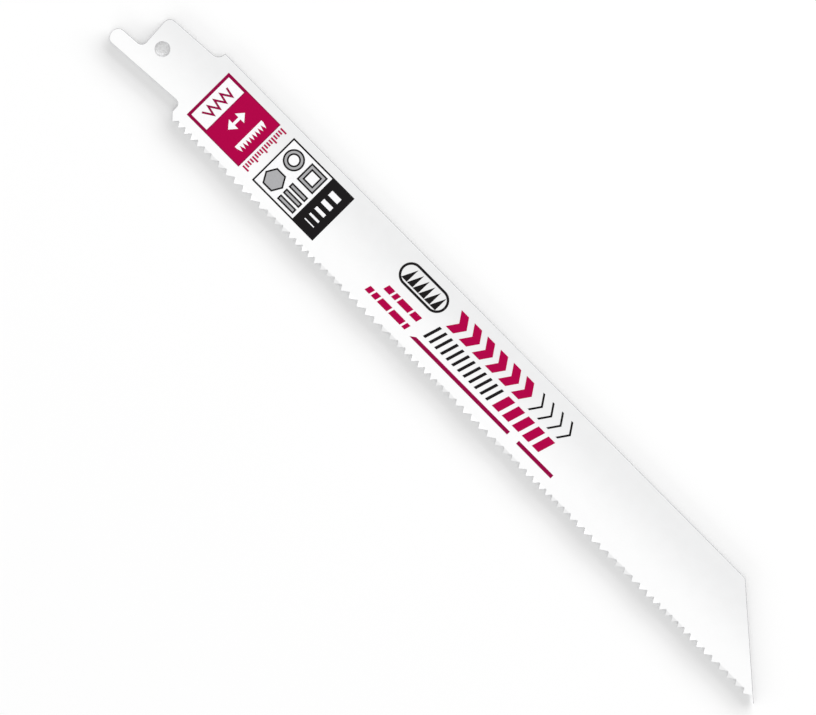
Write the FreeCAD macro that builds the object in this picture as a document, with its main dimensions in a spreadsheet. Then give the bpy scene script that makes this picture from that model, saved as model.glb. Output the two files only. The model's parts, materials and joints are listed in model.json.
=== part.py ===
import FreeCAD, Part
import math
import os
import Sketcher

# Reciprocating saw blade: one flat steel strip with a canted shank, a pin hole,
# a slanted nose and a row of variable pitch teeth that are set sideways in a wave.
#
# Frame: the origin is the centre of the pin hole, at half the strip's thickness.
# +X runs along the straight back edge to the nose, +Y to the back edge, +Z out of one side.
# The shank points to -X and the teeth to -Y, and they cut as the blade is pulled to -X.

# Driving dimensions, in millimetres and degrees
dim = {
    "thickness": 0.889,        # of the strip, 0.035 in
    "edge_round": 0.18,        # rolled edges all round, apart from the teeth and the hole
    "heel_back": 10.33,        # from the hole to where the back edge starts
    "heel_front": 11.15,       # from the hole to the face below the shank
    "back_wall": 0.24,         # straight wall above the neck's round, up to the back edge
    "heel_wall": 1.2,          # straight wall below the neck's round, down to the heel's slant
    "slant_reach": 1.44,       # of the heel's slant along the blade, to the first tooth's tip
    "slant_drop": 1.51,        # of the heel's slant across the blade
    "tooth_line_taper": 0.19,  # angle between the tooth line and the back edge
    "nose_reach": 192.66,      # from the hole to the tip of the nose, for 203.2 (8 in) in all
    "nose_angle": 40.9,        # between the nose and the back edge
    "hole_diameter": 3.48,     # for the locking pin of the saw's clamp
    "shank_width": 12.7,       # 1/2 in universal shank
    "shank_cant": 4.0,         # tilt of the shank against the back edge
    "shoulder_reach": 3.64,    # from the hole back to the shoulder
    "tongue_reach": 10.86,     # from the hole back to the end of the tongue
    "tongue_width": 3.8,
    "tongue_flat": 0.3,        # straight end of the tongue, between its rounded corners
    "notch_round": 1.4,        # inside corner between the tongue and the shoulder
    "shoulder_round": 1.6,     # outside corner of the shoulder
    "back_neck_round": 1.8,    # inside corner between the shank and the back edge
    "heel_neck_round": 1.2,    # inside corner between the shank and the heel
    "heel_pitch": 2.255,       # from tooth tip to tooth tip at the heel, without the wave
    "pitch_fade": 0.0011,      # that much narrower with each tooth towards the nose
    "pitch_swing": 0.345,      # most that the wave makes a pitch wider or narrower
    "pitch_group": 17.0,       # teeth from one narrowest pitch to the next
    "pitch_start": 150.0,      # place of the first tooth in its group, as an angle
    "tooth_depth": 1.05,       # from the tooth line to the gullet's floor
    "tip_land": 0.1,           # flat at the tip of each tooth
    "nose_wall": 0.1,          # least metal between the last gullet and the nose
    "rake_lean": 31.0,         # of the cutting face, from square to the tooth line
    "gullet_radius": 0.25,     # floor of each gullet
    "bend_height": 0.95,       # from the tooth line to where the teeth are bent sideways
    "set_reach": 0.15,         # most that a tip is bent sideways
    "set_wave": 8.0,           # teeth in one wave of the set, to one side and the other
    "overrun": 3.0,            # how far each cut runs past the metal
}

# The body's depth follows from the shank: its upper edge, a neck round and a wall reach the back
# edge, and its lower edge, a neck round, a wall and the slant reach the first tooth's tip
HALF_SHANK = "sizes.shank_width / 2 / cos(sizes.shank_cant)"
BACK_RISE = ("(sizes.heel_back * tan(sizes.shank_cant) + " + HALF_SHANK
             + " + sizes.back_neck_round / tan(45 + sizes.shank_cant / 2) + sizes.back_wall)")
HEEL_DROP = ("(" + HALF_SHANK + " - sizes.heel_front * tan(sizes.shank_cant)"
             " + sizes.heel_neck_round / tan(45 - sizes.shank_cant / 2) + sizes.heel_wall)")
FIRST_TIP_ALONG = "(sizes.heel_front + sizes.slant_reach)"
FIRST_TIP_DROP = "(" + HEEL_DROP + " + sizes.slant_drop)"

# The tooth row has a frame of its own: its origin is the first tip, its x axis the tooth line
TOOTH_FRAME = {
    "Placement.Base.x": FIRST_TIP_ALONG,
    "Placement.Base.y": "-" + FIRST_TIP_DROP,
    "Placement.Rotation.Angle": "sizes.tooth_line_taper",
}

UP = FreeCAD.Vector(0, 0, 1)
CLOSE = 1e-4    # two places this near to each other are the same

document = FreeCAD.newDocument("reciprocating_saw_blade")


def make_sheet():
    """The driving dimensions, one row each, under their own names."""
    sheet = document.addObject("Spreadsheet::Sheet", "sizes")
    for row, (name, value) in enumerate(dim.items(), start=1):
        sheet.set("A%d" % row, name)
        sheet.set("B%d" % row, str(value))
        sheet.setAlias("B%d" % row, name)
    document.recompute()


def bind(thing, links):
    """Ties properties of an object to expressions."""
    for place, expression in links.items():
        thing.setExpression(place, expression)


def put_in_tooth_frame(thing):
    """Moves an object to the tooth row. The first turn only sets the axis, and is then bound."""
    thing.Placement = FreeCAD.Placement(FreeCAD.Vector(), FreeCAD.Rotation(UP, 1))
    bind(thing, TOOTH_FRAME)


def add_outline(sketch, corners):
    """A closed outline of straight lines. Each corner is a pair of expressions, x and y."""
    first_line = sketch.GeometryCount
    count = len(corners)
    turn = 2 * math.pi / count
    rough = [FreeCAD.Vector(math.cos(turn * k), math.sin(turn * k), 0) for k in range(count)]
    for k in range(count):
        sketch.addGeometry(Part.LineSegment(rough[k], rough[(k + 1) % count]), False)
    for k in range(count):
        line = first_line + k
        next_line = first_line + (k + 1) % count
        sketch.addConstraint(Sketcher.Constraint("Coincident", line, 2, next_line, 1))
    for k, (x_place, y_place) in enumerate(corners):
        line = first_line + k
        along = sketch.addConstraint(Sketcher.Constraint("DistanceX", -1, 1, line, 1, rough[k].x))
        across = sketch.addConstraint(Sketcher.Constraint("DistanceY", -1, 1, line, 1, rough[k].y))
        bind(sketch, {"Constraints[%d]" % along: x_place, "Constraints[%d]" % across: y_place})


# Plate

def add_sketch(body, name):
    """A sketch on the body's middle plane."""
    sketch = body.newObject("Sketcher::SketchObject", name)
    middle = next(plane for plane in body.Origin.OriginFeatures if plane.Role == "XY_Plane")
    sketch.AttachmentSupport = [(middle, "")]
    sketch.MapMode = "FlatFace"
    return sketch


def add_pad(body, sketch, name):
    """Pads a sketch to the strip's thickness, half to each side."""
    pad = body.newObject("PartDesign::Pad", name)
    pad.Profile = sketch
    pad.Midplane = True
    bind(pad, {"Length": "sizes.thickness"})


def upright_edge(shape, place):
    """The name of the edge along Z that stands nearest to a place on the plan."""
    def distance(number):
        middle = shape.Edges[number].CenterOfMass
        return math.hypot(middle.x - place.x, middle.y - place.y)

    def is_upright(edge):
        start, end = edge.firstVertex().Point, edge.lastVertex().Point
        return start.sub(end).cross(UP).Length < CLOSE < start.sub(end).Length

    upright = [number for number, edge in enumerate(shape.Edges) if is_upright(edge)]
    return "Edge%d" % (min(upright, key=distance) + 1)


def round_corners(body, name, radius, places):
    """Rounds the corners of the plan at the given places. The radius is an expression."""
    document.recompute()
    sharp = body.Tip
    fillet = body.newObject("PartDesign::Fillet", name)
    fillet.Base = (sharp, [upright_edge(sharp.Shape, place) for place in places])
    bind(fillet, {"Radius": radius})
    body.Tip = fillet


def shank_place(along, across):
    """A place given in the canted frame of the shank, in the blade's frame."""
    return FreeCAD.Rotation(UP, dim["shank_cant"]).multVec(FreeCAD.Vector(along, across, 0))


def shank_edge_place(along, side):
    """Where the shank's upper or lower edge (side 1 or -1) passes a distance along the blade."""
    cant = math.radians(dim["shank_cant"])
    height = along * math.tan(cant) + side * dim["shank_width"] / 2 / math.cos(cant)
    return FreeCAD.Vector(along, height, 0)


def first_tip_place():
    """Where the first tooth's tip is on the plan."""
    heel_top = shank_edge_place(dim["heel_front"], -1)
    neck = dim["heel_neck_round"] / math.tan(math.radians(45 - dim["shank_cant"] / 2))
    drop = neck + dim["heel_wall"] + dim["slant_drop"]
    return heel_top + FreeCAD.Vector(dim["slant_reach"], -drop, 0)


def tooth_line_height(along):
    """Expression for the height of the tooth line at a distance along the blade."""
    return "(-%s + (%s - %s) * tan(sizes.tooth_line_taper))" % (
        FIRST_TIP_DROP, along, FIRST_TIP_ALONG)


def bend_line_height(along):
    """Expression for the height, at a distance along the blade, of the line where teeth bend."""
    return tooth_line_height(along) + " + sizes.bend_height / cos(sizes.tooth_line_taper)"


def make_plate():
    """The flat strip from the back edge to the bend line, with its shank and pin hole."""
    body = document.addObject("PartDesign::Body", "plate")

    strip_end = "sizes.nose_reach + sizes.overrun"
    strip_outline = add_sketch(body, "strip_outline")
    add_outline(strip_outline, [
        ("sizes.heel_back", BACK_RISE),
        ("sizes.heel_back", "0"),
        ("sizes.heel_front", "0"),
        ("sizes.heel_front", bend_line_height("sizes.heel_front")),
        (strip_end, bend_line_height("(%s)" % strip_end)),
        (strip_end, BACK_RISE),
    ])
    add_pad(body, strip_outline, "strip")

    shank_outline = add_sketch(body, "shank_outline")
    bind(shank_outline, {"AttachmentOffset.Rotation.Angle": "sizes.shank_cant"})
    tongue_top = "-sizes.shank_width / 2 + sizes.tongue_width"
    inside_strip = "max(sizes.heel_back; sizes.heel_front) + sizes.overrun"
    add_outline(shank_outline, [
        ("-sizes.tongue_reach", "-sizes.shank_width / 2"),
        (inside_strip, "-sizes.shank_width / 2"),
        (inside_strip, "sizes.shank_width / 2"),
        ("-sizes.shoulder_reach", "sizes.shank_width / 2"),
        ("-sizes.shoulder_reach", tongue_top),
        ("-sizes.tongue_reach", tongue_top),
    ])
    add_pad(body, shank_outline, "shank")

    half_width = dim["shank_width"] / 2
    tongue_top_across = dim["tongue_width"] - half_width
    round_corners(body, "tongue_end", "(sizes.tongue_width - sizes.tongue_flat) / 2",
                  [shank_place(-dim["tongue_reach"], -half_width),
                   shank_place(-dim["tongue_reach"], tongue_top_across)])
    round_corners(body, "notch", "sizes.notch_round",
                  [shank_place(-dim["shoulder_reach"], tongue_top_across)])
    round_corners(body, "shoulder", "sizes.shoulder_round",
                  [shank_place(-dim["shoulder_reach"], half_width)])
    round_corners(body, "back_neck", "sizes.back_neck_round",
                  [shank_edge_place(dim["heel_back"], 1)])
    round_corners(body, "heel_neck", "sizes.heel_neck_round",
                  [shank_edge_place(dim["heel_front"], -1)])

    hole_outline = add_sketch(body, "hole_outline")
    hole_outline.addGeometry(Part.Circle(FreeCAD.Vector(), UP, 1), False)
    hole_outline.addConstraint(Sketcher.Constraint("Coincident", 0, 3, -1, 1))
    diameter = hole_outline.addConstraint(Sketcher.Constraint("Diameter", 0, 2))
    bind(hole_outline, {"Constraints[%d]" % diameter: "sizes.hole_diameter"})
    pin_hole = body.newObject("PartDesign::Pocket", "pin_hole")
    pin_hole.Profile = hole_outline
    pin_hole.Type = "ThroughAll"
    pin_hole.Midplane = True
    body.Tip = pin_hole
    return body


# Tooth row

def floor_centre(tip):
    """Centre of the round floor of the gullet that ends at a tip."""
    lean = math.radians(dim["rake_lean"])
    height = dim["tooth_depth"] - dim["gullet_radius"]
    return FreeCAD.Vector(
        tip - height * math.tan(lean) - dim["gullet_radius"] / math.cos(lean), height, 0)


def find_tips():
    """Distance of each tip from the first one. The pitch fades to the nose, and swings in a wave."""
    nose_tip = dim["nose_reach"] - first_tip_place().x
    nose_lean = math.radians(dim["nose_angle"] - dim["tooth_line_taper"])
    tips = [0.0]
    while True:
        number = len(tips) - 1
        place_in_group = 360 * number / dim["pitch_group"] + dim["pitch_start"]
        swing = dim["pitch_swing"] * math.cos(math.radians(place_in_group))
        tip = tips[-1] + dim["heel_pitch"] - dim["pitch_fade"] * number + swing
        centre = floor_centre(tip)
        to_nose = (nose_tip - centre.x) * math.sin(nose_lean) - centre.y * math.cos(nose_lean)
        if to_nose < dim["gullet_radius"] + dim["nose_wall"]:
            return tips
        tips.append(tip)


def gullet_name(number):
    return "gullet_%03d" % number


def add_gullet(number, tip_before, tip_after):
    """Outline of the gap between two tips: a clearance flank, a round floor and a cutting face."""
    radius = dim["gullet_radius"]
    flank_start = FreeCAD.Vector(tip_before + dim["tip_land"], 0, 0)
    tip = FreeCAD.Vector(tip_after, 0, 0)
    centre = floor_centre(tip_after)
    reach = centre - flank_start
    flank_angle = math.atan2(reach.y, reach.x) + math.asin(radius / reach.Length)
    flank_length = math.sqrt(reach.Length ** 2 - radius ** 2)
    flank_way = FreeCAD.Vector(math.cos(flank_angle), math.sin(flank_angle), 0)
    floor = Part.ArcOfCircle(Part.Circle(centre, UP, radius),
                             math.radians(dim["rake_lean"]), flank_angle + math.pi / 2)

    gullet = document.addObject("Sketcher::SketchObject", gullet_name(number))
    gullet.addGeometry([
        Part.LineSegment(flank_start, flank_start + flank_way * flank_length),
        floor,
        Part.LineSegment(floor.StartPoint, tip),
        Part.LineSegment(tip, flank_start),
    ], False)
    gullet.addConstraint([
        Sketcher.Constraint("Tangent", 0, 2, 1, 2),
        Sketcher.Constraint("Tangent", 2, 1, 1, 1),
        Sketcher.Constraint("Coincident", 2, 2, 3, 1),
        Sketcher.Constraint("Coincident", 3, 2, 0, 1),
        Sketcher.Constraint("PointOnObject", 0, 1, -1),
        Sketcher.Constraint("PointOnObject", 3, 1, -1),
        Sketcher.Constraint("DistanceX", -1, 1, 0, 1, flank_start.x),
        Sketcher.Constraint("DistanceX", -1, 1, 3, 1, tip.x),
        Sketcher.Constraint("DistanceX", -1, 1, 1, 3, centre.x),
        Sketcher.Constraint("DistanceY", -1, 1, 1, 3, centre.y),
        Sketcher.Constraint("Radius", 1, radius),
    ])
    for place, name in enumerate(["flank", "tip", "floor", "height", "radius"], start=6):
        gullet.renameConstraint(place, name)

    start = gullet_name(number - 1) + ".Constraints.tip / 1 mm" if number else "0"
    place_in_group = "(360 * %d / sizes.pitch_group + sizes.pitch_start)" % number
    end = (start + " + sizes.heel_pitch - sizes.pitch_fade * %d" % number
           + " + sizes.pitch_swing * cos" + place_in_group)
    bind(gullet, {
        "Constraints.flank": start + " + sizes.tip_land",
        "Constraints.tip": end,
        "Constraints.floor": end
        + " - (sizes.tooth_depth - sizes.gullet_radius) * tan(sizes.rake_lean)"
        + " - sizes.gullet_radius / cos(sizes.rake_lean)",
        "Constraints.height": "sizes.tooth_depth - sizes.gullet_radius",
        "Constraints.radius": "sizes.gullet_radius",
    })
    return gullet


def add_tooth(number, last):
    """The metal of one tooth below the bend line, leaning to its own side."""
    tooth = document.addObject("Part::Wedge", "tooth_%03d" % number)
    put_in_tooth_frame(tooth)
    heel = "-sizes.slant_reach"
    nose = "sizes.nose_reach - " + FIRST_TIP_ALONG + " + sizes.overrun / 2"
    start = gullet_name(number - 1) + ".Constraints.floor" if number else heel
    end = nose if last else gullet_name(number) + ".Constraints.floor"
    lean = "0" if last else "sizes.set_reach * sin(360 * %d / sizes.set_wave)" % number
    bind(tooth, {
        "Xmin": start,
        "X2min": start,
        "Xmax": end,
        "X2max": end,
        "Ymin": "0",
        "Ymax": "sizes.bend_height",
        "Zmin": lean + " - sizes.thickness / 2",
        "Zmax": lean + " + sizes.thickness / 2",
        "Z2min": "-sizes.thickness / 2",
        "Z2max": "sizes.thickness / 2",
    })
    return tooth


def add_end_outlines():
    """What is sheared off at the heel and at the nose."""
    sketch = document.addObject("Sketcher::SketchObject", "end_outlines")
    below = "-" + FIRST_TIP_DROP + " - sizes.overrun"
    outside = "sizes.heel_front - sizes.overrun"
    add_outline(sketch, [
        ("sizes.heel_front", "-" + HEEL_DROP),
        (FIRST_TIP_ALONG, "-" + FIRST_TIP_DROP),
        (FIRST_TIP_ALONG, below),
        (outside, below),
        (outside, "-" + HEEL_DROP),
    ])
    nose_tip_height = tooth_line_height("sizes.nose_reach")
    above = BACK_RISE + " + sizes.overrun"
    far = "sizes.nose_reach + 2 * sizes.overrun"
    slope = "tan(sizes.nose_angle)"
    add_outline(sketch, [
        ("sizes.nose_reach + sizes.overrun / " + slope, nose_tip_height + " - sizes.overrun"),
        (far, nose_tip_height + " - sizes.overrun"),
        (far, above),
        ("sizes.nose_reach - (%s - %s) / %s" % (above, nose_tip_height, slope), above),
    ])
    return sketch


def rolled_edges(shape):
    """Numbers of the edges along the plan's outline, on both sides, apart from the tooth row."""
    to_tooth_frame = FreeCAD.Placement(
        first_tip_place(), FreeCAD.Rotation(UP, dim["tooth_line_taper"])).inverse()

    def is_rolled(edge):
        side = dim["thickness"] / 2
        on_side = all(abs(abs(vertex.Z) - side) < CLOSE for vertex in edge.Vertexes)
        middle = edge.valueAt((edge.FirstParameter + edge.LastParameter) / 2)
        lies_flat = abs(abs(middle.z) - side) < CLOSE
        place = to_tooth_frame.multVec(middle)
        in_row = place.x > 0 and place.y < dim["tooth_depth"] + dim["gullet_radius"]
        return on_side and lies_flat and not edge.isClosed() and not in_row

    return [number for number, edge in enumerate(shape.Edges, start=1) if is_rolled(edge)]


def make_blade():
    """The whole blade: plate and set teeth joined, gullets cut, ends sheared, edges rolled."""
    plate = make_plate()
    tips = find_tips()
    gullet_count = len(tips) - 1
    gullets = [add_gullet(k, tips[k], tips[k + 1]) for k in range(gullet_count)]
    teeth = [add_tooth(k, k == gullet_count) for k in range(gullet_count + 1)]

    blank = document.addObject("Part::MultiFuse", "blank")
    blank.Shapes = [plate] + teeth
    blank.Refine = True

    gullet_outlines = document.addObject("Part::Compound", "gullet_outlines")
    gullet_outlines.Links = gullets
    put_in_tooth_frame(gullet_outlines)
    cut_outlines = document.addObject("Part::Compound", "cut_outlines")
    cut_outlines.Links = [gullet_outlines, add_end_outlines()]
    cuts = document.addObject("Part::Extrusion", "cuts")
    cuts.Base = cut_outlines
    cuts.DirMode = "Custom"
    cuts.Dir = UP
    cuts.Solid = True
    past_each_side = "sizes.thickness / 2 + sizes.set_reach + sizes.overrun"
    bind(cuts, {"LengthFwd": past_each_side, "LengthRev": past_each_side})

    sharp_blade = document.addObject("Part::Cut", "sharp_blade")
    sharp_blade.Base = blank
    sharp_blade.Tool = cuts
    document.recompute()

    blade = document.addObject("Part::Fillet", "blade")
    blade.Label = "blade"
    blade.Base = sharp_blade
    blade.Edges = [(number, dim["edge_round"], dim["edge_round"])
                   for number in rolled_edges(sharp_blade.Shape)]
    document.recompute()
    return blade


def check_document():
    """Stops if any object of the document failed to build."""
    for thing in document.Objects:
        if "Invalid" in thing.State or "Error" in thing.State:
            raise RuntimeError("%s failed: %s" % (thing.Name, thing.getStatusString()))


def write_node(node):
    """Writes a finished sub-part under its own label."""
    shape = node.Shape
    if shape.isNull() or not shape.isValid() or len(shape.Solids) != 1:
        raise RuntimeError("%s is not one valid solid" % node.Label)
    shape.exportStep("parts/%s.step" % node.Label)
    print("%s: %d faces, volume %.2f mm3, box %s" % (
        node.Label, len(shape.Faces), shape.Volume, shape.BoundBox))


make_sheet()
blade = make_blade()
check_document()
os.makedirs("parts", exist_ok=True)
write_node(blade)
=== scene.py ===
"""Looks of the reciprocating saw blade: its enamel, its printed fields, a pale floor and soft light.

Places on the blade are in millimetres from the centre of the pin hole, along (+X, to the nose) and
across (+Y, to the back edge). MM turns them into the metres that the scene works in.
"""

import json
import math

import bpy
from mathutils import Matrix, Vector


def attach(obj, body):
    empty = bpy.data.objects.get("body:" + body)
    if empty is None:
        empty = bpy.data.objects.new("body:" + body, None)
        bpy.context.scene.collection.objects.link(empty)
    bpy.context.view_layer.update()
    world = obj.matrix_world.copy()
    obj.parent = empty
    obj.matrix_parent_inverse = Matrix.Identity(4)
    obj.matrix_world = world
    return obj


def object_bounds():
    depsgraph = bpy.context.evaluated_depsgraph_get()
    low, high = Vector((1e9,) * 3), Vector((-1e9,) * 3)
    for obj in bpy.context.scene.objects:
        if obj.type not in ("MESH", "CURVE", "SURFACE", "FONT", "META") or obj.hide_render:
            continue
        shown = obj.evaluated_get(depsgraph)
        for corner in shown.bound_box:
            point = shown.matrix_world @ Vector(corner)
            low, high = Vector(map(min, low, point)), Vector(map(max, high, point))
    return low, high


MM = 0.001

# The photograph: its size in pixels, its scale, and how far the blade is turned in it
PHOTO_WIDTH, PHOTO_HEIGHT = 816, 715
MM_PER_PIXEL = 0.21865
PHOTO_TURN = math.radians(45.2455)
PIN_HOLE_PIXEL = (161.94, 48.60)
CAMERA_HEIGHT = 2.0
SENSOR_WIDTH = 36.0

# Light in metres and watts: even surroundings, and wide strips of light far off on both sides
WORLD_LEVEL = 0.643
SOFTBOX_WIDTH = 9.5
SOFTBOX_DISTANCE = 4.0
BACK_SIDE, TOOTH_SIDE = 1, -1

# Ink films: each layer stands a little prouder of the enamel than the one before
INK_STEP = 0.006
INK_SUNK = 0.004
UNDERPRINT, FIELD, MARK = 1, 2, 3
WINDOW_OVERLAP = 0.1    # how far the white of a window reaches under the ink round it

# Linear colours
CRIMSON = (0.434, 0.001, 0.063)
DEEP_CRIMSON = (0.296, 0.002, 0.055)
BLACK = (0.0115, 0.0102, 0.0108)
PRINT_WHITE = (0.955, 0.955, 0.965)
DRAWING_GREY = (0.42, 0.42, 0.43)
FLOOR_WHITE = (0.98, 0.98, 0.98)
# Painted shade: the enamel greys from the teeth to the back edge
BACK_WHITE_PAINTED_SHADE = (0.871, 0.873, 0.876)
TOOTH_WHITE = (0.991, 0.992, 0.993)
# Painted shade on rolled edges: dark where they face the back, lighter where they face the teeth
BACK_EDGE_PAINTED_SHADE = (0.15, 0.152, 0.156)
TOOTH_EDGE_PAINTED_SHADE = (0.70, 0.705, 0.71)
HOLE_WALL = (0.76, 0.76, 0.77)

# How much each ink mirrors, as the specular level of its shader
COLOUR_INK_MIRROR = 0.04
WHITE_INK_MIRROR = 0.2
GREY_INK_MIRROR = 0.12

# Most of the noise lies between these two values
NOISE_LOW, NOISE_HIGH = 0.3, 0.7


# Node materials

class Nodes:
    """A node material that is being built, with a shader that is joined to its output."""

    def __init__(self, name):
        self.material = bpy.data.materials.new(name)
        self.material.use_nodes = True
        self.tree = self.material.node_tree
        self.tree.nodes.clear()
        self.output = self.add("OutputMaterial")
        self.shader = self.add("BsdfPrincipled")
        self.join(self.shader.outputs["BSDF"], self.output.inputs["Surface"])
        self.places = self.add("TexCoord")

    def add(self, kind, **properties):
        node = self.tree.nodes.new("ShaderNode" + kind)
        for name, value in properties.items():
            setattr(node, name, value)
        return node

    def join(self, out_socket, in_socket):
        self.tree.links.new(out_socket, in_socket)

    def noise(self, waves_per_mm, detail=2.0):
        """Soft noise that is fixed to the object, from 0 to 1."""
        texture = self.add("TexNoise")
        texture.inputs["Scale"].default_value = waves_per_mm / MM
        texture.inputs["Detail"].default_value = detail
        self.join(self.places.outputs["Object"], texture.inputs["Vector"])
        return texture.outputs["Fac"]

    def map_range(self, value, low, high, to_low, to_high):
        node = self.add("MapRange", interpolation_type="SMOOTHSTEP")
        for name, number in (("From Min", low), ("From Max", high),
                             ("To Min", to_low), ("To Max", to_high)):
            node.inputs[name].default_value = number
        self.join(value, node.inputs["Value"])
        return node.outputs["Result"]

    def spread_noise(self, noise, to_low, to_high):
        """Noise, stretched so that it runs from one given value to the other."""
        return self.map_range(noise, NOISE_LOW, NOISE_HIGH, to_low, to_high)

    def mix(self, factor, first, second):
        """Mixes two colours, each given as a plain colour or as another node's output."""
        node = self.add("Mix", data_type="RGBA")
        self.join(factor, node.inputs[0])
        colour_sockets = [socket for socket in node.inputs if socket.type == "RGBA"]
        for socket, colour in zip(colour_sockets, (first, second)):
            if isinstance(colour, tuple):
                socket.default_value = (*colour, 1.0)
            else:
                self.join(colour, socket)
        return next(socket for socket in node.outputs if socket.type == "RGBA")

    def part_of(self, what, axis):
        """One coordinate of the place on the object, or of the way that its surface faces."""
        split = self.add("SeparateXYZ")
        self.join(self.places.outputs[what], split.inputs["Vector"])
        return split.outputs[axis]

    def math(self, operation, *values):
        """A sum or other step on values, each a number or another node's output."""
        node = self.add("Math", operation=operation)
        for socket, value in zip(node.inputs, values):
            if isinstance(value, float):
                socket.default_value = value
            else:
                self.join(value, socket)
        return node.outputs[0]

    def square(self, value):
        return self.math("MULTIPLY", value, value)

    def bump(self, height, depth_mm):
        node = self.add("Bump")
        node.inputs["Distance"].default_value = depth_mm * MM
        self.join(height, node.inputs["Height"])
        self.join(node.outputs["Normal"], self.shader.inputs["Normal"])


def tint(colour, factor):
    return tuple(channel * factor for channel in colour)


def make_enamel(blade_low, blade_high):
    """Satin white enamel, whiter to the teeth, with painted shade to the back edge and on rolled
    edges.
    """
    nodes = Nodes("blade_enamel")

    # Painted shade: the face turns from grey to white between these shares of the way to the edges,
    # with clouds
    greyest_share, whitest_share = 0.8, 0.62
    cloud_waves, cloud_detail, cloud_strength = 0.35, 3.0, 0.5
    back_cloud, tooth_cloud = 0.97, 0.985
    across = nodes.part_of("Object", "Y")
    painted_shade_to_teeth = nodes.map_range(across, blade_high.y * greyest_share, blade_low.y * whitest_share,
                               0.0, 1.0)
    face = nodes.mix(painted_shade_to_teeth, BACK_WHITE_PAINTED_SHADE, TOOTH_WHITE)
    clouds = nodes.spread_noise(nodes.noise(cloud_waves, cloud_detail), 0.0, cloud_strength)
    clouded = nodes.mix(painted_shade_to_teeth, tint(BACK_WHITE_PAINTED_SHADE, back_cloud), tint(TOOTH_WHITE, tooth_cloud))
    face = nodes.mix(clouds, face, clouded)

    # An edge is what faces sideways by more than this, and it takes painted shade, darkest where it
    # faces the back and the low lamps
    edge_upright = 0.75
    edge_facing = 0.6
    outside_hole, inside_hole = 2.3, 1.9
    upright = nodes.math("ABSOLUTE", nodes.part_of("Normal", "Z"))
    on_edge = nodes.map_range(upright, 1.0, edge_upright, 0.0, 1.0)
    painted_shade_to_back = nodes.map_range(nodes.part_of("Normal", "Y"), -edge_facing, edge_facing, 0.0, 1.0)
    edge = nodes.mix(painted_shade_to_back, TOOTH_EDGE_PAINTED_SHADE, BACK_EDGE_PAINTED_SHADE)
    along = nodes.part_of("Object", "X")
    from_hole = nodes.math("SQRT", nodes.math("ADD", nodes.square(along), nodes.square(across)))
    # Inside the pin hole the walls take a lighter grey in place of the painted edge shade
    in_hole = nodes.map_range(from_hole, outside_hole * MM, inside_hole * MM, 0.0, 1.0)
    edge = nodes.mix(in_hole, edge, HOLE_WALL)
    nodes.join(nodes.mix(on_edge, face, edge), nodes.shader.inputs["Base Color"])

    satin_waves, smoothest, roughest = 1.2, 0.34, 0.42
    edge_roughness = 0.5
    mirror = 0.25
    ripple_waves, ripple_detail, ripple_depth = 1.6, 1.0, 0.004
    satin = nodes.spread_noise(nodes.noise(satin_waves), smoothest, roughest)
    rough = nodes.math("ADD", satin, nodes.math("MULTIPLY", on_edge, edge_roughness))
    nodes.join(rough, nodes.shader.inputs["Roughness"])
    nodes.shader.inputs["Specular IOR Level"].default_value = mirror
    nodes.bump(nodes.noise(ripple_waves, ripple_detail), ripple_depth)
    return nodes.material


def make_ink(name, colour, mirror):
    """Screen printed ink: an uneven film, a little lighter where it is thin."""
    nodes = Nodes(name)
    cover_waves, cover_detail = 2.2, 4.0
    thinnest, thickest = 0.35, 0.65
    thin_tint = 1.05
    cover = nodes.map_range(nodes.noise(cover_waves, cover_detail), thinnest, thickest, 0.0, 1.0)
    nodes.join(nodes.mix(cover, tint(colour, thin_tint), colour),
               nodes.shader.inputs["Base Color"])

    satin_waves, smoothest, roughest = 1.1, 0.42, 0.52
    grain_waves, grain_detail, grain_depth = 6.0, 1.0, 0.001
    nodes.join(nodes.spread_noise(nodes.noise(satin_waves), smoothest, roughest),
               nodes.shader.inputs["Roughness"])
    nodes.shader.inputs["Specular IOR Level"].default_value = mirror
    nodes.bump(nodes.noise(grain_waves, grain_detail), grain_depth)
    return nodes.material


# Outlines of print: each function gives a closed loop of points, and a loop in a loop is a hole

def rectangle(left, right, bottom, top):
    return [(left, bottom), (right, bottom), (right, top), (left, top)]


def slanted_bar(left, right, bottom, top, lean):
    """A bar whose ends lean to the nose by the given distance over its height."""
    return [(left, bottom), (right, bottom), (right + lean, top), (left + lean, top)]


def circle(along, across, radius, steps=48):
    turn = 2 * math.pi / steps
    return [(along + radius * math.cos(turn * k), across + radius * math.sin(turn * k))
            for k in range(steps)]


def capsule(left, right, bottom, top, steps=24):
    """A bar with half round ends."""
    radius = (top - bottom) / 2
    middle = (top + bottom) / 2
    loop = []
    for centre, start in ((right - radius, -math.pi / 2), (left + radius, math.pi / 2)):
        for k in range(steps + 1):
            angle = start + math.pi * k / steps
            loop.append((centre + radius * math.cos(angle), middle + radius * math.sin(angle)))
    return loop


def chevron(left, thickness, bottom, top, reach):
    """An arrow head that points to the nose."""
    middle = (bottom + top) / 2
    return [(left, bottom), (left + thickness, bottom), (left + thickness + reach, middle),
            (left + thickness, top), (left, top), (left + reach, middle)]


def double_arrow(middle, low, high, width, shaft, head):
    """An arrow along Y with a head at both ends."""
    right_side = [(0.0, low), (width / 2, low + head), (shaft / 2, low + head),
                  (shaft / 2, high - head), (width / 2, high - head), (0.0, high)]
    left_side = [(-reach, across) for reach, across in right_side[-2:0:-1]]
    return [(middle + reach, across) for reach, across in right_side + left_side]


def tooth_strip(left, spine, right, bottom, top, count):
    """A solid strip along Y with a row of triangular teeth on its right side."""
    pitch = (top - bottom) / count
    loop = [(left, top), (left, bottom)]
    for k in range(count):
        loop.append((spine, bottom + pitch * k))
        loop.append((right, bottom + pitch * (k + 0.5)))
    loop.append((spine, top))
    return loop


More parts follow.
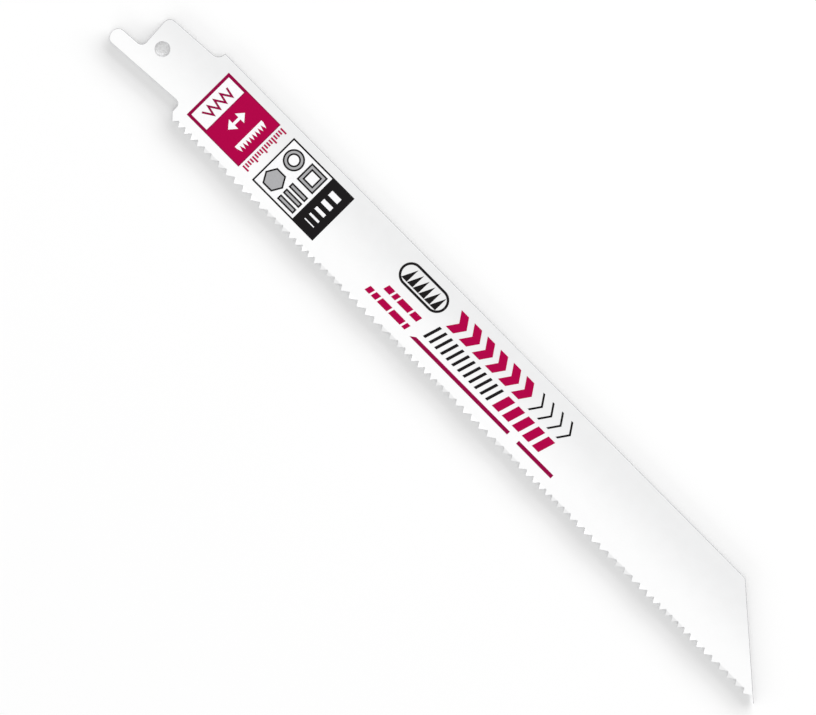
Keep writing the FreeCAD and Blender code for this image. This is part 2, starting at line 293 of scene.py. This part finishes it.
def unit(start, end):
    """The direction from one point to another."""
    along, across = end[0] - start[0], end[1] - start[1]
    length = math.hypot(along, across)
    return along / length, across / length


def moved_corner(corner, before, after, distance):
    """The corner of a path, moved so that both of its lines move that far to their right."""
    reach = distance / (1 + before[0] * after[0] + before[1] * after[1])
    return (corner[0] + (before[1] + after[1]) * reach,
            corner[1] - (before[0] + after[0]) * reach)


def ribbon(points, width):
    """The outline of a line of the given width through the points, with square ends."""
    ways = [unit(start, end) for start, end in zip(points, points[1:])]
    corners = list(zip(points, ways[:1] + ways, ways + ways[-1:]))
    right_side = [moved_corner(*corner, width / 2) for corner in corners]
    left_side = [moved_corner(*corner, -width / 2) for corner in corners]
    return right_side + left_side[::-1]


def offset(loop, distance):
    """The loop moved outwards, or inwards if the distance is negative, with sharp corners."""
    following = loop[1:] + loop[:1]
    area = sum(here[0] * after[1] - after[0] * here[1] for here, after in zip(loop, following))
    outwards = distance if area > 0 else -distance
    ways = [unit(here, after) for here, after in zip(loop, following)]
    return [moved_corner(here, before, after, outwards)
            for here, before, after in zip(loop, ways[-1:] + ways, ways)]


def stroke(loop, width):
    """The two loops that bound a line of the given width along a closed loop."""
    return [offset(loop, width / 2), offset(loop, -width / 2)]


# Print on the blade

def print_film(name, loops, ink, layer):
    """A thin closed film of ink in the shape of the loops, on the blade's printed side."""
    curve = bpy.data.curves.new(name + "_outline", "CURVE")
    curve.dimensions = "2D"
    curve.fill_mode = "BOTH"
    film = INK_STEP * layer + INK_SUNK
    curve.extrude = film / 2 * MM
    for loop in loops:
        spline = curve.splines.new("POLY")
        spline.points.add(len(loop) - 1)
        for point, (along, across) in zip(spline.points, loop):
            point.co = (along * MM, across * MM, 0.0, 1.0)
        spline.use_cyclic_u = True
    outline = bpy.data.objects.new(name + "_outline", curve)
    mesh = bpy.data.meshes.new_from_object(outline)
    bpy.data.objects.remove(outline)
    middle = FACE_HEIGHT + (film / 2 - INK_SUNK) * MM
    for vertex in mesh.vertices:
        vertex.co.z += middle
    mesh.name = name
    mesh.materials.clear()
    mesh.materials.append(ink)
    piece = bpy.data.objects.new(name, mesh)
    bpy.context.scene.collection.objects.link(piece)
    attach(piece, "root")


def print_window(name, left, right, bottom, top):
    """The white of a window, which reaches a little under the ink round it."""
    white = rectangle(left - WINDOW_OVERLAP, right + WINDOW_OVERLAP,
                      bottom - WINDOW_OVERLAP, top + WINDOW_OVERLAP)
    print_film(name, [white], WHITE_INK, UNDERPRINT)


def print_size_panel():
    """The crimson panel: a white window with a fine tooth line, and bold white marks."""
    left, right, bottom, top = 13.88, 29.95, -6.29, 6.69
    rim, border = 0.72, 0.24
    window_right = 19.32
    panel = rectangle(left, right, bottom, top)
    window = rectangle(left + rim, window_right, bottom + rim, top - rim)
    field = rectangle(window_right + border, right - border, bottom + border, top - border)
    print_film("size_panel", [field], CRIMSON_INK, FIELD)
    print_film("size_panel_border", [panel, window, field], DEEP_CRIMSON_INK, FIELD)
    print_window("size_window", left + rim, window_right, bottom + rim, top - rim)

    line, pitch, count = 0.45, 1.9, 4
    foot, tip, tip_share = 15.9, 18.1, 0.75
    line_middle = 0.2
    start = line_middle - pitch * count / 2
    points = [(foot, start)]
    for k in range(count):
        points.append((tip, start + pitch * (k + tip_share)))
        points.append((foot, start + pitch * (k + 1)))
    print_film("size_window_line", [ribbon(points, line)], DEEP_CRIMSON_INK, MARK)

    arrow = double_arrow(middle=22.6, low=-2.2, high=3.0, width=2.9, shaft=0.65, head=1.7)
    teeth = tooth_strip(left=26.3, spine=26.9, right=28.3, bottom=-3.8, top=4.4, count=9)
    print_film("size_panel_marks", [arrow, teeth], WHITE_INK, MARK)


def print_gauge_ticks():
    """A fine crimson scale beside the panel."""
    left, long_tick, short_tick, long_every = 30.5, 1.75, 1.15, 4
    bottom, top, count, width = -5.45, 6.15, 17, 0.4
    step = (top - bottom) / (count - 1)
    ticks = []
    for k in range(count):
        across = bottom + step * k
        length = short_tick if k % long_every else long_tick
        ticks.append(rectangle(left, left + length, across - width / 2, across + width / 2))
    print_film("gauge_ticks", ticks, CRIMSON_INK, FIELD)


def print_stock_panel():
    """The black panel: end views of plain metal stock on white, and bars from thin to thick."""
    left, right, bottom, top = 34.04, 52.83, -6.22, 6.79
    rim, white_right = 0.38, 46.30
    white = rectangle(left + rim, white_right, bottom + rim, top - rim)
    print_film("stock_panel", [rectangle(left, right, bottom, top), white], BLACK_INK, FIELD)
    print_window("stock_window", left + rim, white_right, bottom + rim, top - rim)

    line = 0.38
    near, far = 37.5, 43.2
    low, high = -2.75, 3.3
    half, wall = 2.25, 0.9
    hexagon_radius, hexagon_corners = 2.475, 6
    sheet_count, sheet_pitch = 3, 2 * wall
    hollow = half - wall
    tube = [circle(near, high, half), circle(near, high, hollow)]
    box = [rectangle(far - half, far + half, high - half, high + half),
           rectangle(far - hollow, far + hollow, high - hollow, high + hollow)]
    hexagon = [circle(near, low, hexagon_radius, hexagon_corners)]
    sheets = []
    for k in range(sheet_count):
        sheet_bottom = low - half + sheet_pitch * k
        sheets.append(rectangle(far - half, far + half, sheet_bottom, sheet_bottom + wall))
    sections = tube + box + hexagon + sheets
    print_film("stock_sections", sections, GREY_INK, FIELD)
    outlines = [loop for section in sections for loop in stroke(section, line)]
    print_film("stock_section_lines", outlines, BLACK_INK, MARK)

    bars, gap, height = 5, 1.15, 2.8
    thinnest, growth = 0.25, 0.28
    bar_left = (white_right + right) / 2 - height / 2
    across = -4.05
    gauge = []
    for k in range(bars):
        width = thinnest + growth * k
        gauge.append(rectangle(bar_left, bar_left + height, across, across + width))
        across += width + gap
    print_film("stock_gauge_bars", gauge, WHITE_INK, MARK)


def print_badge():
    """A black capsule outline with a row of plain teeth in it."""
    left, right, bottom, top = 70.6, 84.0, 1.15, 6.65
    line = 0.56
    loops = [capsule(left, right, bottom, top),
             capsule(left + line, right - line, bottom + line, top - line)]
    teeth, pitch, foot_share, base, tip = 6, 1.75, 0.96, 2.1, 5.7
    start = (left + right) / 2 - teeth * pitch / 2
    for k in range(teeth):
        foot = start + pitch * k
        loops.append([(foot, base), (foot + pitch * foot_share, base), (foot + pitch, tip)])
    print_film("badge", loops, BLACK_INK, FIELD)


def print_arrow_row():
    """A row of arrow heads to the nose: bold crimson ones, then fine black ones."""
    bottom, top, reach = 1.35, 6.3, 1.7
    bold_start, bold_pitch, bold_count, bold = 86.6, 4.05, 6, 2.3
    crimson = [chevron(bold_start + bold_pitch * k, bold, bottom, top, reach)
               for k in range(bold_count)]
    print_film("arrow_row_bold", crimson, CRIMSON_INK, FIELD)
    fine_start, fine_pitch, fine_count, fine = 112.0, 2.9, 4, 0.55
    black = [chevron(fine_start + fine_pitch * k, fine, bottom, top, reach)
             for k in range(fine_count)]
    print_film("arrow_row_fine", black, BLACK_INK, FIELD)


def bar_row(start, pitch, count, width, bottom, top, lean):
    """Leaning bars of one width, a pitch apart."""
    return [slanted_bar(start + pitch * k, start + pitch * k + width, bottom, top, lean)
            for k in range(count)]


def print_stripe_row():
    """A row of leaning stripes: fine black ones, then bold crimson ones."""
    bottom, top, lean = -3.7, 0.35, 1.2
    black = bar_row(start=84.6, pitch=1.75, count=12, width=0.72, bottom=bottom, top=top,
                    lean=lean)
    print_film("stripe_row_fine", black, BLACK_INK, FIELD)
    crimson = bar_row(start=106.0, pitch=3.1, count=5, width=2.05, bottom=bottom, top=top,
                      lean=lean)
    print_film("stripe_row_bold", crimson, CRIMSON_INK, FIELD)


def print_side_dashes():
    """Two short crimson rows of dashes before the stripes."""
    height, lean, gap = 1.5, 0.4, 0.5
    upper = (71.2, -2.6, (1.9, 1.2, 3.4, 2.2))
    lower = (68.4, -5.6, (1.4, 1.4, 3.0, 3.6, 1.0))
    loops = []
    for along, bottom, lengths in (upper, lower):
        for length in lengths:
            loops.append(slanted_bar(along, along + length, bottom, bottom + height, lean))
            along += length + gap
    print_film("side_dashes", loops, CRIMSON_INK, FIELD)


def print_underlines():
    """Two crimson bars under the stripes. The first starts in a point."""
    bottom, top = -5.83, -4.94
    long_left, long_right, point = 82.6, 112.9, 1.2
    short_left, short_right = 115.7, 126.4
    long_bar = [(long_left, bottom), (long_right, bottom), (long_right, top),
                (long_left + point, top)]
    short_bar = rectangle(short_left, short_right, bottom, top)
    print_film("underlines", [long_bar, short_bar], DEEP_CRIMSON_INK, FIELD)


# Floor, light and camera

def background_rays(tree):
    """1 for rays that show the background: to the camera, mirrored or through glass."""
    rays = tree.nodes.new("ShaderNodeLightPath").outputs
    shown = rays["Is Camera Ray"]
    for kind in ("Is Glossy Ray", "Is Transmission Ray"):
        either = tree.nodes.new("ShaderNodeMath")
        either.operation = "MAXIMUM"
        tree.links.new(shown, either.inputs[0])
        tree.links.new(rays[kind], either.inputs[1])
        shown = either.outputs[0]
    return shown


def make_floor(height):
    """A pale floor with no edge in sight. It keeps the blade's shadow, and its white is its own."""
    half_size = 6.0
    mesh = bpy.data.meshes.new("floor")
    corners = rectangle(-half_size, half_size, -half_size, half_size)
    mesh.from_pydata([(x, y, height) for x, y in corners], [], [(0, 1, 2, 3)])
    floor = bpy.data.objects.new("floor", mesh)
    bpy.context.scene.collection.objects.link(floor)

    patch_waves, patch_tint = 0.02, 0.998
    roughness, mirror, lift = 0.9, 0.0, 0.028
    nodes = Nodes("floor_white")
    patches = nodes.spread_noise(nodes.noise(patch_waves), 0.0, 1.0)
    nodes.join(nodes.mix(patches, FLOOR_WHITE, tint(FLOOR_WHITE, patch_tint)),
               nodes.shader.inputs["Base Color"])
    nodes.shader.inputs["Roughness"].default_value = roughness
    nodes.shader.inputs["Specular IOR Level"].default_value = mirror
    glow = nodes.add("Emission")
    nodes.join(nodes.math("MULTIPLY", background_rays(nodes.tree), lift),
               glow.inputs["Strength"])
    both = nodes.add("AddShader")
    nodes.join(nodes.shader.outputs["BSDF"], both.inputs[0])
    nodes.join(glow.outputs[0], both.inputs[1])
    nodes.join(both.outputs[0], nodes.output.inputs["Surface"])
    mesh.materials.append(nodes.material)


def make_world(level):
    """Even light from all round, which is seen as white."""
    world = bpy.data.worlds.new("studio")
    world.use_nodes = True
    tree = world.node_tree
    tree.nodes.clear()
    output = tree.nodes.new("ShaderNodeOutputWorld")
    strength = tree.nodes.new("ShaderNodeMapRange")
    strength.inputs["To Min"].default_value = level
    strength.inputs["To Max"].default_value = 1.0
    sky = tree.nodes.new("ShaderNodeBackground")
    sky.inputs["Color"].default_value = (1.0, 1.0, 1.0, 1.0)
    tree.links.new(background_rays(tree), strength.inputs["Value"])
    tree.links.new(strength.outputs["Result"], sky.inputs["Strength"])
    tree.links.new(sky.outputs[0], output.inputs["Surface"])
    bpy.context.scene.world = world


def make_softbox(name, target, side, rise, height, watts):
    """A wide lamp beside the blade that faces it. It isn't mirrored, so white enamel stays clear."""
    lamp = bpy.data.lights.new(name, "AREA")
    lamp.shape = "RECTANGLE"
    lamp.size = SOFTBOX_WIDTH
    lamp.size_y = height
    lamp.energy = watts
    place = target + Vector((0.0, side * SOFTBOX_DISTANCE, rise))
    holder = bpy.data.objects.new(name, lamp)
    holder.location = place
    holder.rotation_euler = (target - place).to_track_quat("-Z", "Y").to_euler()
    holder.visible_camera = False
    holder.visible_glossy = False
    bpy.context.scene.collection.objects.link(holder)


def photo_centre():
    """The place on the blade's face at the middle of the photograph."""
    right = (PHOTO_WIDTH - 1) / 2 - PIN_HOLE_PIXEL[0]
    down = (PHOTO_HEIGHT - 1) / 2 - PIN_HOLE_PIXEL[1]
    along = right * math.cos(PHOTO_TURN) + down * math.sin(PHOTO_TURN)
    across = right * math.sin(PHOTO_TURN) - down * math.cos(PHOTO_TURN)
    return along * MM_PER_PIXEL * MM, across * MM_PER_PIXEL * MM


def make_camera():
    """Straight above, from far off, turned as the photograph is."""
    camera = bpy.data.cameras.new("camera")
    camera.sensor_width = SENSOR_WIDTH
    camera.lens = SENSOR_WIDTH * CAMERA_HEIGHT / (PHOTO_WIDTH * MM_PER_PIXEL * MM)
    holder = bpy.data.objects.new("camera", camera)
    along, across = photo_centre()
    holder.location = (along, across, FACE_HEIGHT + CAMERA_HEIGHT)
    holder.rotation_euler = (0.0, 0.0, PHOTO_TURN)
    bpy.context.scene.collection.objects.link(holder)
    bpy.context.scene.camera = holder


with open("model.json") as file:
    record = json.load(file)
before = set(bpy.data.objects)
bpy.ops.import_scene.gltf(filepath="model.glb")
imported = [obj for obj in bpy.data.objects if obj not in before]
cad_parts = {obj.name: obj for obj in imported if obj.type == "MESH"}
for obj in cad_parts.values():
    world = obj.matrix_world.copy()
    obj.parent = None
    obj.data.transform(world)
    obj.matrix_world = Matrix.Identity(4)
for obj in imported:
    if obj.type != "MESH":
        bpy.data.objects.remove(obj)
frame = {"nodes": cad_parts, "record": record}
cad_low, cad_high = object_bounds()
FACE_HEIGHT = next(mount["pos_m"][2] for mount in frame["record"]["mounts"]
                   if mount["name"] == "printed_side")

CRIMSON_INK = make_ink("crimson_ink", CRIMSON, COLOUR_INK_MIRROR)
DEEP_CRIMSON_INK = make_ink("deep_crimson_ink", DEEP_CRIMSON, COLOUR_INK_MIRROR)
BLACK_INK = make_ink("black_ink", BLACK, COLOUR_INK_MIRROR)
WHITE_INK = make_ink("white_ink", PRINT_WHITE, WHITE_INK_MIRROR)
GREY_INK = make_ink("grey_ink", DRAWING_GREY, GREY_INK_MIRROR)

enamel = make_enamel(cad_low, cad_high)
for slot in frame["nodes"]["blade"].material_slots:
    slot.material = enamel

print_size_panel()
print_gauge_ticks()
print_stock_panel()
print_badge()
print_arrow_row()
print_stripe_row()
print_side_dashes()
print_underlines()

make_floor(cad_low.z)
make_world(WORLD_LEVEL)
blade_middle = (cad_low + cad_high) / 2
make_softbox("low_softbox", blade_middle, BACK_SIDE, rise=0.67, height=0.545, watts=270.0)
make_softbox("high_softbox", blade_middle, BACK_SIDE, rise=1.45, height=1.02, watts=121.0)
make_softbox("tooth_side_softbox", blade_middle, TOOTH_SIDE, rise=0.80, height=0.73, watts=82.0)
make_camera()
bpy.context.scene.view_settings.view_transform = "Standard"
